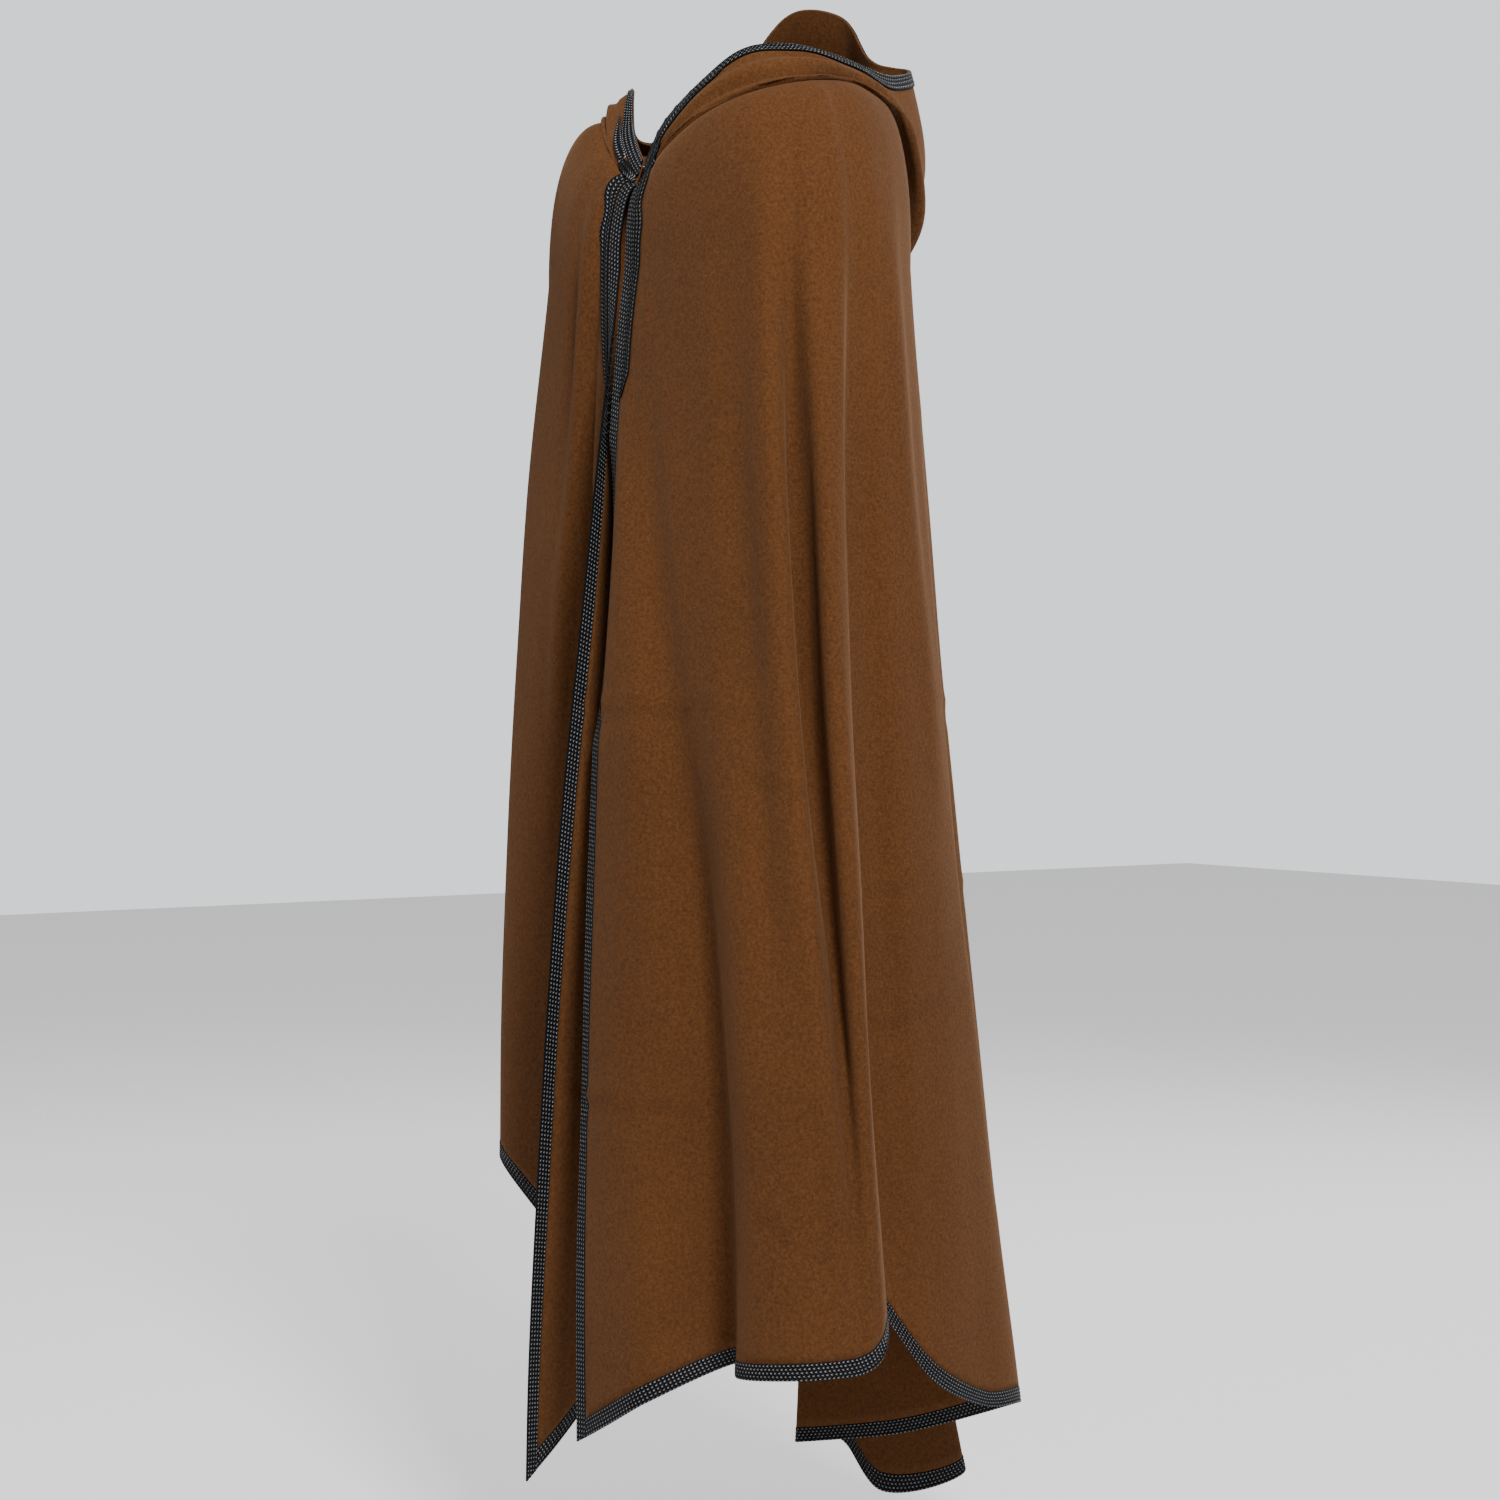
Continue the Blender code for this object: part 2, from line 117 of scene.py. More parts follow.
wool_group.links.new(nap_height, ends_out.inputs["Height"])


def wool_material(name, dark, light):
    """A wool material between these two colours, with a soft sheen from its nap."""
    made = bpy.data.materials.new(name)
    made.use_nodes = True
    tree = made.node_tree
    shader = tree.nodes["Principled BSDF"]
    shader.inputs["Roughness"].default_value = 0.92
    shader.inputs["Specular IOR Level"].default_value = 0.22
    shader.inputs["Sheen Weight"].default_value = 0.13
    shader.inputs["Sheen Roughness"].default_value = 0.45
    shader.inputs["Sheen Tint"].default_value = (1.0, 0.58, 0.30, 1.0)
    place = tree.nodes.new("ShaderNodeTexCoord")
    nap = tree.nodes.new("ShaderNodeGroup")
    nap.node_tree = wool_group
    nap.inputs["Dark"].default_value = dark
    nap.inputs["Light"].default_value = light
    bump = tree.nodes.new("ShaderNodeBump")
    bump.inputs["Strength"].default_value = 0.55
    bump.inputs["Distance"].default_value = 0.0012
    tree.links.new(place.outputs["Object"], nap.inputs["Vector"])
    tree.links.new(nap.outputs["Color"], shader.inputs["Base Color"])
    tree.links.new(nap.outputs["Height"], bump.inputs["Height"])
    tree.links.new(bump.outputs["Normal"], shader.inputs["Normal"])
    return made


body_wool = wool_material("body_wool", (0.052, 0.0168, 0.0034, 1), (0.146, 0.0545, 0.0145, 1))
# The hood's browns are painted a little lighter than the body's, for the light from above on the
# hood.
hood_wool = wool_material("hood_wool", (0.055, 0.0178, 0.0038, 1), (0.152, 0.0580, 0.0158, 1))


# ---- Cloak body ------------------------------------------------------------------------------
# One wide arc of wool from the neck seam over the shoulders to the hem. Its large folds come
# from the two tables below, and its creases are soft ridges and troughs laid on them.

WOOL = 0.0018
BRAID_WIDTH = 0.0155
SEAM_GAP = 0.0003
HEM_LAP = 0.0008  # how far the wool runs into the hem braid
CHEST_Z = -0.16
SHOULDER_POWER = 2 / 2.25

# The fronts are joined down to this share of the way from chest to hem and then part as a power
# of the rest. Above the stitches a slit opens between them: height of its top, length, half-width.
JOINED_SHARE = 0.15
PARTING_POWER = 1.15
SLIT_TOP, SLIT_LENGTH, SLIT_HALF = -0.085, 0.13, 0.0022

# The grid: rows over the shoulder and down to the hem, rows of the hem band, and cells round.
OVER_ROWS, WOOL_ROWS, EDGE_ROWS, BAND_ROWS = 25, 113, 240, 17
CELLS_ROUND = 325
WOOL_SAMPLES, EDGE_SAMPLES = 1100, 1400

# The neck seam: azimuth from the front toward the wearer's left, radius, height.
NECK = np.array((
    (-180, 0.135, -0.005), (-150, 0.143, -0.002), (-123, 0.145, -0.004), (-104, 0.148, -0.014),
    (-79, 0.155, -0.024), (-58, 0.151, 0.010), (-30, 0.132, -0.034), (0, 0.120, -0.078),
    (30, 0.130, -0.036), (62, 0.145, -0.003), (79, 0.143, 0.008), (104, 0.135, 0.015),
    (123, 0.142, 0.006), (150, 0.143, 0.000), (180, 0.135, -0.005)))

# The folds from the right front edge round the back to the left: place at the chest (x, y), how
# far the middle stands off the line from chest to hem (x, y), and place at the hem (x, y, z).
FOLDS = np.array((
    (-0.003, -0.140, 0.006, -0.027, -0.060, -0.213, -1.342),  # 0: right front edge
    (-0.024, -0.146, 0.025, 0.004, -0.067, -0.152, -1.290),
    (-0.044, -0.150, -0.006, -0.002, -0.080, -0.098, -1.228),
    (-0.062, -0.152, -0.006, -0.001, -0.108, -0.094, -1.180),
    (-0.098, -0.152, -0.006, -0.002, -0.152, -0.138, -1.110),
    (-0.158, -0.132, -0.016, -0.003, -0.222, -0.152, -1.052),  # 5: right bulge
    (-0.208, -0.090, -0.008, 0.000, -0.258, -0.085, -1.075),
    (-0.238, -0.030, -0.010, 0.000, -0.262, 0.002, -1.135),
    (-0.232, 0.035, -0.004, -0.004, -0.235, 0.088, -1.210),
    (-0.195, 0.082, 0.000, -0.008, -0.178, 0.170, -1.290),
    (-0.145, 0.110, 0.000, -0.014, -0.105, 0.255, -1.370),  # 10: right of the back
    (-0.098, 0.125, 0.000, -0.016, -0.022, 0.302, -1.402),
    (-0.070, 0.131, 0.000, -0.006, -0.050, 0.208, -1.414),
    (-0.050, 0.134, 0.000, -0.003, -0.067, 0.172, -1.360),
    (-0.028, 0.135, 0.000, 0.000, -0.062, 0.111, -1.352),
    (0.016, 0.135, 0.000, 0.000, 0.000, 0.196, -1.342),  # 15: middle of the back
    (0.085, 0.124, 0.000, -0.006, 0.070, 0.274, -1.312),
    (0.148, 0.098, 0.002, -0.009, 0.122, 0.256, -1.292),
    (0.186, 0.055, 0.006, -0.010, 0.147, 0.192, -1.282),
    (0.203, 0.018, 0.005, -0.010, 0.164, 0.111, -1.240),
    (0.207, -0.018, 0.002, -0.018, 0.166, 0.044, -1.160),  # 20: recess behind the side fold
    (0.214, -0.040, 0.007, -0.013, 0.276, -0.026, -1.164),
    (0.207, -0.060, 0.003, -0.009, 0.288, -0.043, -1.180),
    (0.197, -0.079, -0.016, 0.005, 0.290, -0.060, -1.187),
    (0.184, -0.098, -0.008, -0.012, 0.288, -0.078, -1.189),
    (0.152, -0.119, -0.003, -0.005, 0.266, -0.122, -1.191),  # 25: left swell
    (0.104, -0.132, 0.020, 0.000, 0.206, -0.142, -1.198),
    (0.054, -0.138, 0.023, -0.023, 0.150, -0.112, -1.200),
    (0.036, -0.139, 0.002, -0.014, 0.122, -0.189, -1.231),
    (0.020, -0.140, 0.002, -0.017, 0.075, -0.203, -1.260),
    (0.003, -0.140, 0.001, -0.011, 0.030, -0.209, -1.284)))  # 30: left front edge

# Creases that run down: fold number at the top, middle and bottom, height of the top and of the
# bottom, half-width and how far it stands out (a trough is negative).
CREASES_DOWN = np.array((
    (27.9, 26.95, 26.3, -0.24, -1.19, 0.021, -0.0105),  # valley beside the front
    (28.7, 27.80, 27.3, -0.32, -1.15, 0.018, 0.0040),
    (30.0, 30.0, 30.0, -0.33, -0.62, 0.013, -0.0110),  # the left edge turns under
    (24.0, 23.95, 23.6, -0.05, -1.12, 0.015, 0.0145),  # first side ridge
    (25.2, 25.00, 24.9, -0.10, -0.85, 0.020, -0.0065),
    (26.1, 25.70, 25.4, -0.50, -1.19, 0.020, 0.0055),
    (23.0, 23.38, 22.7, -0.15, -0.93, 0.0080, -0.0150),  # sharp groove
    (22.1, 21.95, 21.8, -0.05, -1.00, 0.011, 0.0100),  # second side ridge
    (18.6, 18.2, 17.8, -0.08, -0.70, 0.018, 0.0050),
    (19.5, 19.4, 19.2, -0.20, -1.05, 0.016, -0.0050),
    (1.4, 3.2, 3.8, -0.05, -0.62, 0.012, 0.0090),  # ridge of the right front
    (0.9, 2.4, 3.0, -0.06, -0.66, 0.010, -0.0090),
    (1.7, 1.95, 2.3, -0.15, -0.31, 0.008, 0.0045),
    (5.4, 5.6, 5.9, -0.18, -0.95, 0.024, 0.0050),
    (6.6, 6.7, 6.8, -0.22, -0.85, 0.016, -0.0055),
    (8.2, 8.4, 8.6, -0.12, -1.10, 0.018, 0.0060),
    (9.3, 9.4, 9.4, -0.25, -1.15, 0.013, -0.0065),
    (10.6, 10.7, 10.8, -0.15, -0.90, 0.018, 0.0050),
    (15.2, 15.0, 14.8, -0.20, -0.85, 0.014, -0.0050),
    (16.3, 16.2, 16.1, -0.14, -1.00, 0.018, 0.0055),
    (17.2, 17.1, 17.0, -0.30, -1.10, 0.011, -0.0060)))

# Creases left from folding the cloak away, that run across: fold number and height of each end,
# half-width and depth. Each is a small ridge with a small trough under it.
CREASES_ACROSS = np.array((
    (29.9, -0.590, 26.6, -0.587, 0.0069, 0.0026), (26.6, -0.587, 24.4, -0.592, 0.0081, 0.0013),
    (29.9, -0.961, 26.9, -0.957, 0.0069, 0.0029), (0.1, -0.592, 2.2, -0.588, 0.0069, 0.0026),
    (0.1, -0.963, 2.6, -0.958, 0.0069, 0.0026), (19.8, -0.898, 17.4, -0.850, 0.0063, 0.0035),
    (21.0, -0.768, 17.7, -0.752, 0.0075, 0.0014), (25.45, -1.044, 24.85, -1.066, 0.0069, 0.0038),
    (25.4, -0.645, 23.7, -0.664, 0.0075, 0.0017), (5.4, -0.586, 7.4, -0.594, 0.0085, 0.0010),
    (5.2, -0.955, 9.0, -0.962, 0.0085, 0.0010), (10.4, -0.590, 14.0, -0.588, 0.0085, 0.0011),
    (14.6, -0.592, 18.0, -0.586, 0.0085, 0.0011), (11.5, -0.958, 16.4, -0.960, 0.0085, 0.0011),
    (7.0, -0.780, 8.6, -0.745, 0.0080, 0.0014), (15.3, -0.735, 16.9, -0.770, 0.0080, 0.0014)))


def unit(vectors):
    """The vectors, each divided by its length."""
    return vectors / np.linalg.norm(vectors, axis=-1, keepdims=True)


def grid_normals(points):
    """The unit cross product of the grid's two directions at each of its points."""
    return unit(np.cross(np.gradient(points, axis=0), np.gradient(points, axis=1)))


def spline_basis(knots, wanted):
    """The matrix that turns points at the knots into a smooth curve's points at wanted: cubic
    pieces whose slope at a knot is the mean of its two chords, weighed by each other's length."""
    knots = np.asarray(knots, float)
    count = len(knots)
    steps = np.diff(knots)
    slopes = np.zeros((count, count))
    slopes[0, :2] = np.array([-1, 1]) / steps[0]
    slopes[-1, -2:] = np.array([-1, 1]) / steps[-1]
    inner = np.arange(1, count - 1)
    before, after = steps[:-1], steps[1:]
    slopes[inner, inner + 1] = before / after / (before + after)
    slopes[inner, inner] = (after / before - before / after) / (before + after)
    slopes[inner, inner - 1] = -after / before / (before + after)
    span = np.clip(np.searchsorted(knots, wanted, side="right") - 1, 0, count - 2)
    width = steps[span]
    t = (wanted - knots[span]) / width
    places = np.eye(count)
    basis = (2 * t**3 - 3 * t**2 + 1)[:, None] * places[span]
    basis += (3 * t**2 - 2 * t**3)[:, None] * places[span + 1]
    basis += ((t**3 - 2 * t**2 + t) * width)[:, None] * slopes[span]
    return basis + ((t**3 - t**2) * width)[:, None] * slopes[span + 1]


def neck_point(azimuth):
    """Points of the neck seam at these azimuths: radius and height are splines of the azimuth."""
    wrapped = (np.asarray(azimuth, float) + 180) % 360 - 180
    radius, height = (spline_basis(NECK[:, 0], wrapped) @ NECK[:, 1:]).T
    turn = np.radians(wrapped)
    return np.stack([radius * np.sin(turn), -radius * np.cos(turn), height], axis=-1)


def fold_lines(places):
    """Points down every fold. Places 0 to 1 run from neck to chest on a superellipse, and 1 to 2
    to the hem on a straight line plus 4t(1-t) of the middle offset. Beside the front edges the
    first stretch hangs straight, where the fronts are joined, round a slit of sine-square shape."""
    azimuth = np.degrees(np.arctan2(FOLDS[:, 0], -FOLDS[:, 1]))
    neck = neck_point(azimuth)
    turn = np.clip(places, 0, 1) * math.pi / 2
    out = np.clip(np.sin(turn), 0, 1) ** SHOULDER_POWER
    fall = np.clip(np.cos(turn), 0, 1) ** SHOULDER_POWER
    drop = np.clip(places - 1, 0, None)
    late = drop.copy()
    parted = np.clip((drop[[0, -1]] - JOINED_SHARE) / (1 - JOINED_SHARE), 0, None)
    late[[0, -1]] = parted**PARTING_POWER
    points = np.empty(places.shape + (3,))
    for axis, share in ((0, late), (1, drop)):
        top, chest, bow, hem_place = (v[:, None] for v in (
            neck[:, axis], FOLDS[:, axis], FOLDS[:, 2 + axis], FOLDS[:, 4 + axis]))
        points[..., axis] = top + (chest - top) * out + (hem_place - chest) * share
        points[..., axis] += 4 * share * (1 - share) * bow
    points[..., 2] = CHEST_Z + (neck[:, 2, None] - CHEST_Z) * fall
    points[..., 2] += (FOLDS[:, 6, None] - CHEST_Z) * drop
    along = np.clip((SLIT_TOP - points[[0, -1], :, 2]) / SLIT_LENGTH, 0, 1)
    slit = SLIT_HALF * np.sin(math.pi * along) ** 2
    points[0, :, 0] -= slit[0]
    points[-1, :, 0] += slit[1]
    return points


def relief(fold, z, metres_per_fold):
    """How far the creased cloth stands off its large folds: the sum over the creases of depth
    times a bell curve of the distance from the crease, faded in and out at its ends, and a slow
    unevenness made of a few sines. It fades out at the neck seam."""
    total = np.zeros_like(z)
    for top, mid, end, z_top, z_end, width, depth in CREASES_DOWN:
        t = np.clip((z_top - z) / (z_top - z_end), 0, 1)
        line = top * (1 - t) ** 2 + (4 * mid - top - end) * t * (1 - t) + end * t**2
        bell = np.exp(-((fold - line) * metres_per_fold / width) ** 2)
        total += depth * bell * np.sin(math.pi * t) ** 0.7
    for fold_a, z_a, fold_b, z_b, width, depth in CREASES_ACROSS:
        t = (fold - fold_a) / (fold_b - fold_a)
        wander = 0.004 * np.sin(5 * t + 40 * z_a) * np.sin(11 * t + fold_a)
        d = (z - z_a - (z_b - z_a) * t - wander) / width
        fade = np.clip(np.minimum(t, 1 - t) * 6 + 0.15, 0, 1) * ((t > -0.03) & (t < 1.03))
        total += depth * fade * (np.exp(-(d - 0.7) ** 2) - np.exp(-(d + 0.7) ** 2))
    slow = np.sin(fold * 2.1 + z * 5.0 + 1.0) * np.sin(z * 9.0 + fold * 0.6)
    slow += 0.6 * np.sin(fold * 4.3 - z * 7.0) * np.sin(z * 15.0 + fold * 1.7 + 2.0)
    total += 0.0011 * slow
    return total * np.clip((0.0 - z) / 0.10, 0, 1)


def cloth_surface(places, samples):
    """Points and outward normals of the creased cloak: [place round it, place down it]. The
    spacing of the folds is the square root of the distance between them at chest and hem."""
    chord = np.linalg.norm(np.diff(FOLDS[:, 4:6], axis=0), axis=1)
    chord += np.linalg.norm(np.diff(FOLDS[:, :2], axis=0), axis=1)
    knots = np.concatenate([[0], np.cumsum(np.sqrt(chord))])
    wanted = np.linspace(0, knots[-1], samples)
    points = np.einsum("dk,kic->dic", spline_basis(knots, wanted), fold_lines(places))
    fold = np.interp(wanted, knots, np.arange(len(knots)))[:, None]
    metres = np.linalg.norm(np.gradient(points, axis=0), axis=2) / np.gradient(fold, axis=0)
    points = points + grid_normals(points) * relief(fold, points[..., 2], metres)[..., None]
    return points, grid_normals(points)


def along_rows(points, normals, starts, ends, cells):
    """Every row resampled: lines at the distances of starts from its first end and of ends from
    its last, in metres, and the stretch between split evenly. Each may differ from row to row."""
    length = np.linalg.norm(np.diff(points, axis=0), axis=2)
    length = np.concatenate([np.zeros((1, length.shape[1])), np.cumsum(length, axis=0)])
    index = np.arange(len(points))
    starts = [np.broadcast_to(start, points.shape[1]) for start in starts]
    ends = [np.broadcast_to(end, points.shape[1]) for end in ends]
    both = np.concatenate([points, normals], axis=2)
    rows = []
    for row in range(points.shape[1]):
        total = length[-1, row]
        first = np.interp([start[row] for start in starts], length[:, row], index)
        last = np.interp([total - end[row] for end in ends], length[:, row], index)
        between = np.linspace(first[-1], last[-1], cells + 1)[1:-1]
        at = np.concatenate([first, between, last[::-1]])
        rows.append(np.stack([np.interp(at, index, channel) for channel in both[:, row].T], axis=1))
    found = np.stack(rows, axis=1)
    return found[..., :3], unit(found[..., 3:])


def add_wall(name, points, normals, inner, outer, made_of, replaced):
    """A closed smooth wall on a grid: its two faces stand off it by inner and outer, which may be
    arrays on the grid. The UV map holds the metres along its first and its second direction."""
    rows, columns = points.shape[:2]
    outer_face = points + normals * np.broadcast_to(outer, (rows, columns))[..., None]
    inner_face = points + normals * np.broadcast_to(inner, (rows, columns))[..., None]
    vertices = np.concatenate([outer_face.reshape(-1, 3), inner_face.reshape(-1, 3)])
    at = np.arange(rows * columns).reshape(rows, columns)
    back = at + rows * columns
    front_quads = np.stack([at[:-1, :-1], at[1:, :-1], at[1:, 1:], at[:-1, 1:]], axis=-1)
    back_quads = np.stack([back[:-1, :-1], back[:-1, 1:], back[1:, 1:], back[1:, :-1]], axis=-1)
    quads = [front_quads.reshape(-1, 4), back_quads.reshape(-1, 4)]
    for near, far in ((at[:, 0], back[:, 0]), (at[:, -1][::-1], back[:, -1][::-1]),
                      (at[0][::-1], back[0][::-1]), (at[-1], back[-1])):
        quads.append(np.stack([near[:-1], far[:-1], far[1:], near[1:]], axis=-1))
    quads = np.concatenate(quads)
    a, b, c = (vertices[quads[:, k]] for k in range(3))
    d = vertices[quads[:, 3]]
    volume = np.einsum("ij,ij->i", a, np.cross(b, c) + np.cross(c, d)).sum()
    quads = quads if volume > 0 else quads[:, ::-1]
    mesh = bpy.data.meshes.new(name)
    mesh.vertices.add(len(vertices))
    mesh.vertices.foreach_set("co", vertices.ravel())
    mesh.loops.add(quads.size)
    mesh.loops.foreach_set("vertex_index", quads.ravel())
    mesh.polygons.add(len(quads))
    mesh.polygons.foreach_set("loop_start", np.arange(0, quads.size, 4))
    mesh.update(calc_edges=True)
    mesh.polygons.foreach_set("use_smooth", np.ones(len(quads), bool))
    first = np.linalg.norm(np.diff(points, axis=0), axis=2).mean(axis=1)
    second = np.linalg.norm(np.diff(points, axis=1), axis=2).mean(axis=0)
    u = np.concatenate([[0], np.cumsum(first)])
    v = np.concatenate([[0], np.cumsum(second)])
    uv = np.stack(np.broadcast_arrays(u[:, None], v[None, :]), axis=-1).reshape(-1, 2)
    uv = np.concatenate([uv, uv])[quads.ravel()]
    mesh.uv_layers.new(name="Metres").data.foreach_set("uv", uv.ravel())
    mesh.materials.append(made_of)
    mesh.validate()
    made = bpy.data.objects.new(name, mesh)
    bpy.context.scene.collection.objects.link(made)
    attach(made, "root")
    if replaced:
        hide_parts(*replaced)
    return made


# Places down each fold: over the shoulder, down to the wool's end, and the band of braid below it.
# Where the hem slants, the band is taller by the slant, up to a limit, so that its width holds.
MOST_SLANT = 1.8
HEM_STEP = 0.01
hem_steps = np.linalg.norm(np.diff(FOLDS[:, 4:6], axis=0), axis=1)
hem_slope = np.gradient(FOLDS[:, 6], np.concatenate([[0], np.cumsum(hem_steps)]))
slant = np.minimum(np.sqrt(1 + hem_slope**2), MOST_SLANT)[:, None]
hem_end = np.full((len(FOLDS), 1), 2.0)
last_step = fold_lines(hem_end) - fold_lines(hem_end - HEM_STEP)
drop_length = np.linalg.norm(last_step, axis=2) / HEM_STEP
band_top = 2 - BRAID_WIDTH * slant / drop_length
wool_end = band_top + HEM_LAP * slant / drop_length
over_shoulder = np.tile(np.linspace(0, 1, OVER_ROWS)[:-1], (len(FOLDS), 1))
to_wool_end = 1 + (wool_end - 1) * np.linspace(0, 1, WOOL_ROWS)
wool_places = np.concatenate([over_shoulder, to_wool_end], axis=1)
band_places = band_top + (2 - band_top) * np.linspace(0, 1, BAND_ROWS)
to_band = 1 + (band_top - 1) * np.linspace(0, 1, EDGE_ROWS)
edge_places = np.concatenate([over_shoulder, to_band, band_places[:, 1:]], axis=1)

half = WOOL / 2
wool_start = BRAID_WIDTH + SEAM_GAP
points, normals = cloth_surface(wool_places, WOOL_SAMPLES)
body_grid, body_normals = along_rows(points, normals, (wool_start,), (wool_start,), CELLS_ROUND)
cloak = add_wall("cloak_wool", body_grid, body_normals, -half, half, body_wool, ["cloak_body"])


# ---- Braid material --------------------------------------------------------------------------
# Black corded braid: flat rows of small looped chains, each loop a V across its row, in a dull
# black thread whose loop tops carry a painted highlight, a grey glint mixed into the colour.
# The rows follow the UV map, which is in metres.

ROW = BRAID_WIDTH / 4
CHAIN_PITCH = 0.0042
braid_group, ends_in, ends_out = add_group("CordChains", (
    ("Along", "INPUT", "NodeSocketFloat"), ("Across", "INPUT", "NodeSocketFloat"),
    ("Color", "OUTPUT", "NodeSocketColor"), ("Height", "OUTPUT", "NodeSocketFloat")))
row = add_math(braid_group, "DIVIDE", ends_in.outputs["Across"], ROW)
off_middle = add_math(braid_group, "PINGPONG", row, 0.5)
off_middle = add_math(braid_group, "SUBTRACT", 0.5, off_middle)
number = add_math(braid_group, "FLOOR", row)
phase = add_math(braid_group, "DIVIDE", ends_in.outputs["Along"], CHAIN_PITCH)
phase = add_math(braid_group, "MULTIPLY_ADD", off_middle, 1.1, phase)
phase = add_math(braid_group, "MULTIPLY_ADD", number, 0.37, phase)
chain = add_math(braid_group, "SINE", add_math(braid_group, "MULTIPLY", phase, 2 * math.pi))
chain = add_math(braid_group, "MULTIPLY_ADD", chain, 0.5, 0.5)
crown = add_math(braid_group, "MULTIPLY_ADD", off_middle, -1.6, 1.0)
raised = add_math(braid_group, "MULTIPLY", chain, crown)
along_across = braid_group.nodes.new("ShaderNodeCombineXYZ")
braid_group.links.new(ends_in.outputs["Along"], along_across.inputs[0])
braid_group.links.new(ends_in.outputs["Across"], along_across.inputs[1])
uneven = add_noise(braid_group, along_across.outputs[0], 420.0, 2.0, 0.6)
# Painted highlight: the loop tops are mixed toward a grey glint colour, standing in for light
# caught on the thread.
painted_glint_share = add_math(braid_group, "MULTIPLY", add_math(braid_group, "POWER", raised, 4.2), uneven)
painted_glint_share = add_math(braid_group, "MULTIPLY", painted_glint_share, 2.6)
black, painted_glint = (0.0007, 0.0007, 0.0009, 1), (0.43, 0.44, 0.47, 1)
threads = add_mix(braid_group, painted_glint_share, black, painted_glint)
braid_group.links.new(threads, ends_out.inputs["Color"])
braid_group.links.new(raised, ends_out.inputs["Height"])


def braid_material(name, along, across):
    """Braid whose rows run along that UV direction; along and across are X or Y."""
    made = bpy.data.materials.new(name)
    made.use_nodes = True
    tree = made.node_tree
    shader = tree.nodes["Principled BSDF"]
    shader.inputs["Roughness"].default_value = 0.55
    shader.inputs["Specular IOR Level"].default_value = 0.12
    metres = tree.nodes.new("ShaderNodeUVMap")
    metres.uv_map = "Metres"
    split = tree.nodes.new("ShaderNodeSeparateXYZ")
    chains = tree.nodes.new("ShaderNodeGroup")
    chains.node_tree = braid_group
    bump = tree.nodes.new("ShaderNodeBump")
    bump.inputs["Strength"].default_value = 0.8
    bump.inputs["Distance"].default_value = 0.0009
    tree.links.new(metres.outputs[0], split.inputs[0])
    tree.links.new(split.outputs[along], chains.inputs["Along"])
    tree.links.new(split.outputs[across], chains.inputs["Across"])
    tree.links.new(chains.outputs["Color"], shader.inputs["Base Color"])
    tree.links.new(chains.outputs["Height"], bump.inputs["Height"])
    tree.links.new(bump.outputs["Normal"], shader.inputs["Normal"])
    return made


braid_down = braid_material("braid_down", "Y", "X")
braid_round = braid_material("braid_round", "X", "Y")


# ---- Front and hem braids --------------------------------------------------------------------
# Bands that carry the cloak's edges, so both of their faces show. Each is the creased cloth
# itself, carried on past the wool, with its four rows of cord as rounded ridges.

BRAID_HALF = 0.0015
CORD_GROOVE = 0.0006
EDGE_CELLS, HEM_CELLS, HEM_CELLS_ROUND = 20, 16, 900


def cord_crowns(cells, rows=4):
    """How high each line across a braid stands between its grooves, 0, and its crowns, 1: the
    size of a sine with one arch for each row of cord, to the power 0.6."""
    return np.abs(np.sin(rows * math.pi * np.linspace(0, 1, cells + 1))) ** 0.6


points, normals = cloth_surface(edge_places, EDGE_SAMPLES)
length = np.linalg.norm(np.diff(points, axis=0), axis=2).sum(axis=0)
ridges = (BRAID_HALF - CORD_GROOVE * (1 - cord_crowns(EDGE_CELLS)))[:, None]
right, right_normals = along_rows(points, normals, (0,), (length - BRAID_WIDTH,), EDGE_CELLS)
front_right = add_wall("front_braid_right", right, right_normals, -ridges, ridges, braid_down,
                       ["braid_front_right"])
left, left_normals = along_rows(points, normals, (length - BRAID_WIDTH,), (0,), EDGE_CELLS)
front_left = add_wall("front_braid_left", left, left_normals, -ridges, ridges, braid_down,
                      ["braid_front_left"])

points, normals = cloth_surface(band_places, EDGE_SAMPLES)
band, band_normals = along_rows(points, normals, (wool_start,), (wool_start,), HEM_CELLS_ROUND)
ridges = (BRAID_HALF - CORD_GROOVE * (1 - cord_crowns(HEM_CELLS)))[None, :]
hem = add_wall("hem_braid_band", band, band_normals, -ridges, ridges, braid_round, ["braid_hem"])


# ---- Chest braids ----------------------------------------------------------------------------
# A second run of braid on the wool beside each front edge, from the collar to the breast. It
# widens into two soft lobes below the collar and ends in a slanted cut.

LIFT = half + 0.0002  # the underside of a braid that lies on the wool
CHEST_WIDTH = 0.0118
CHEST_LOBES = ((-0.088, 0.013, 0.0065), (-0.125, 0.012, 0.0030))  # height, half-length, width
CHEST_CUT = 0.022
CHEST_TOP, CHEST_SHARE = 0.05, 0.118  # its place below the neck, and its share of chest to hem
CHEST_BASE, CHEST_CROWN = 0.0009, 0.0007
CHEST_CELLS = 16
COLLAR_ROWS, BREAST_ROWS = 60, 50
chest_end = 1 + (wool_end - 1) * CHEST_SHARE
over_collar = np.tile(np.linspace(CHEST_TOP, 1, COLLAR_ROWS)[:-1], (len(FOLDS), 1))
over_breast = 1 + (chest_end - 1) * np.linspace(0, 1, BREAST_ROWS)
chest_places = np.concatenate([over_collar, over_breast], axis=1)
points, normals = cloth_surface(chest_places, EDGE_SAMPLES)
length = np.linalg.norm(np.diff(points, axis=0), axis=2).sum(axis=0)
ridges = CHEST_CROWN * cord_crowns(CHEST_CELLS)[:, None]
